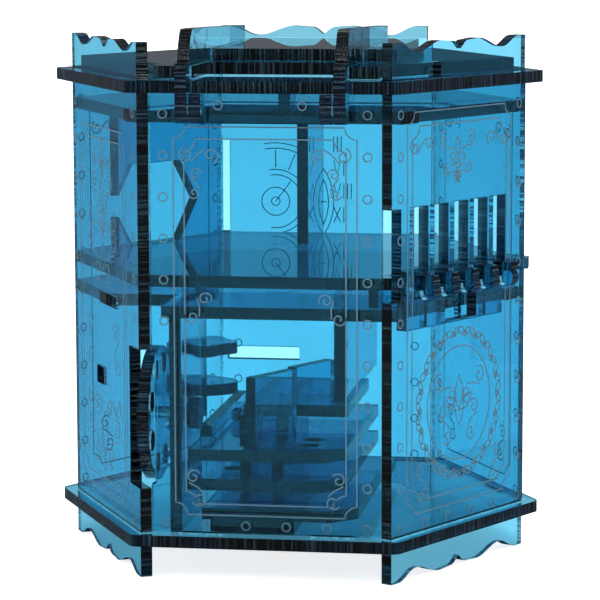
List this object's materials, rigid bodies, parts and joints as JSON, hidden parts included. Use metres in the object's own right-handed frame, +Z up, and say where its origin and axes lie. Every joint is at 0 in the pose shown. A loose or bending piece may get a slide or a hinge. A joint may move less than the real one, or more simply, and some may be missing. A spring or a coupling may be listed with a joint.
{
  "type": "slotted puzzle box",
  "caption": "Hexagonal see-through puzzle box of slotted sheet, with a hinged lid, side sliders, a thumb wheel, cam discs and stepped ball trays.",
  "frame": {"origin": "on the ground, under the middle of the six-sided box", "axes": "+Z up, -Y towards the front window, +X towards the side corner beside the slider lock"},
  "size_m": [0.1292, 0.1167, 0.1373],
  "materials": {
    "blue_acrylic": "gloss",
    "steel": "polished"
  },
  "bodies": {
    "box": {"base_plate": "blue_acrylic", "top_flange": "blue_acrylic", "ceiling_plate": "blue_acrylic", "upper_shelf": "blue_acrylic", "lower_shelf": "blue_acrylic", "left_wall": "blue_acrylic", "right_wall": "blue_acrylic", "back_left_wall": "blue_acrylic", "back_right_wall": "blue_acrylic", "back_wall": "blue_acrylic", "front_window": "blue_acrylic", "window_plate": "blue_acrylic", "upper_divider": "blue_acrylic", "left_divider": "blue_acrylic", "right_divider": "blue_acrylic", "lock_rail": "blue_acrylic", "upper_tray": "blue_acrylic", "top_tray": "blue_acrylic", "middle_tray": "blue_acrylic", "bottom_tray": "blue_acrylic", "floor_tray": "blue_acrylic", "left_tray_riser": "blue_acrylic", "middle_tray_riser": "blue_acrylic", "front_maze_wall": "blue_acrylic", "rear_maze_wall": "blue_acrylic", "tray_rail": "blue_acrylic", "left_hinge_ear": "blue_acrylic", "right_hinge_ear": "blue_acrylic", "hinge_crossbar": "blue_acrylic", "crossbar_rib": "blue_acrylic"},
    "lid": {"lid_plate": "blue_acrylic", "lid_top_plate": "blue_acrylic", "left_lid_arm": "blue_acrylic", "right_lid_arm": "blue_acrylic", "lid_hinge_pins": "steel"},
    "thumb_wheel": {"thumb_wheel": "blue_acrylic", "wheel_axle": "steel", "wheel_collar": "blue_acrylic"},
    "cam_stack": {"upper_cam_disc": "blue_acrylic", "lower_cam_disc": "blue_acrylic", "cam_axle": "steel", "cam_collar": "blue_acrylic"},
    "ball": {"ball": "steel"},
    "slider_1": {"slider_plate_1": "blue_acrylic", "slider_knob_1": "blue_acrylic"},
    "slider_2": {"slider_plate_2": "blue_acrylic", "slider_knob_2": "blue_acrylic"},
    "slider_3": {"slider_plate_3": "blue_acrylic", "slider_knob_3": "blue_acrylic"},
    "slider_4": {"slider_plate_4": "blue_acrylic", "slider_knob_4": "blue_acrylic"},
    "slider_5": {"slider_plate_5": "blue_acrylic", "slider_knob_5": "blue_acrylic"}
  },
  "joints": [
    {"name": "lid_hinge", "type": "hinge", "parent": "box", "child": "lid", "pos_m": [0, -0.0561, 0.1178], "axis": [1, 0, 0], "range_deg": [0, 100]},
    {"name": "slider_1_lift", "type": "slide", "parent": "box", "child": "slider_1", "axis": [0, 0, 1], "range_m": [0, 0.015]},
    {"name": "slider_2_lift", "type": "slide", "parent": "box", "child": "slider_2", "axis": [0, 0, 1], "range_m": [0, 0.015]},
    {"name": "slider_3_lift", "type": "slide", "parent": "box", "child": "slider_3", "axis": [0, 0, 1], "range_m": [0, 0.015]},
    {"name": "slider_4_lift", "type": "slide", "parent": "box", "child": "slider_4", "axis": [0, 0, 1], "range_m": [0, 0.015]},
    {"name": "slider_5_lift", "type": "slide", "parent": "box", "child": "slider_5", "axis": [0, 0, 1], "range_m": [0, 0.015]},
    {"name": "thumb_wheel_spin", "type": "hinge", "parent": "box", "child": "thumb_wheel", "pos_m": [-0.03, -0.041, 0.0402], "axis": [1, 0, 0], "continuous": true},
    {"name": "cam_spin", "type": "hinge", "parent": "box", "child": "cam_stack", "pos_m": [-0.024, -0.01, 0.052], "axis": [0, 0, 1], "continuous": true},
    {"name": "ball_run", "type": "slide", "parent": "box", "child": "ball", "axis": [0, 1, 0], "range_m": [-0.01, 0.028]}
  ]
}
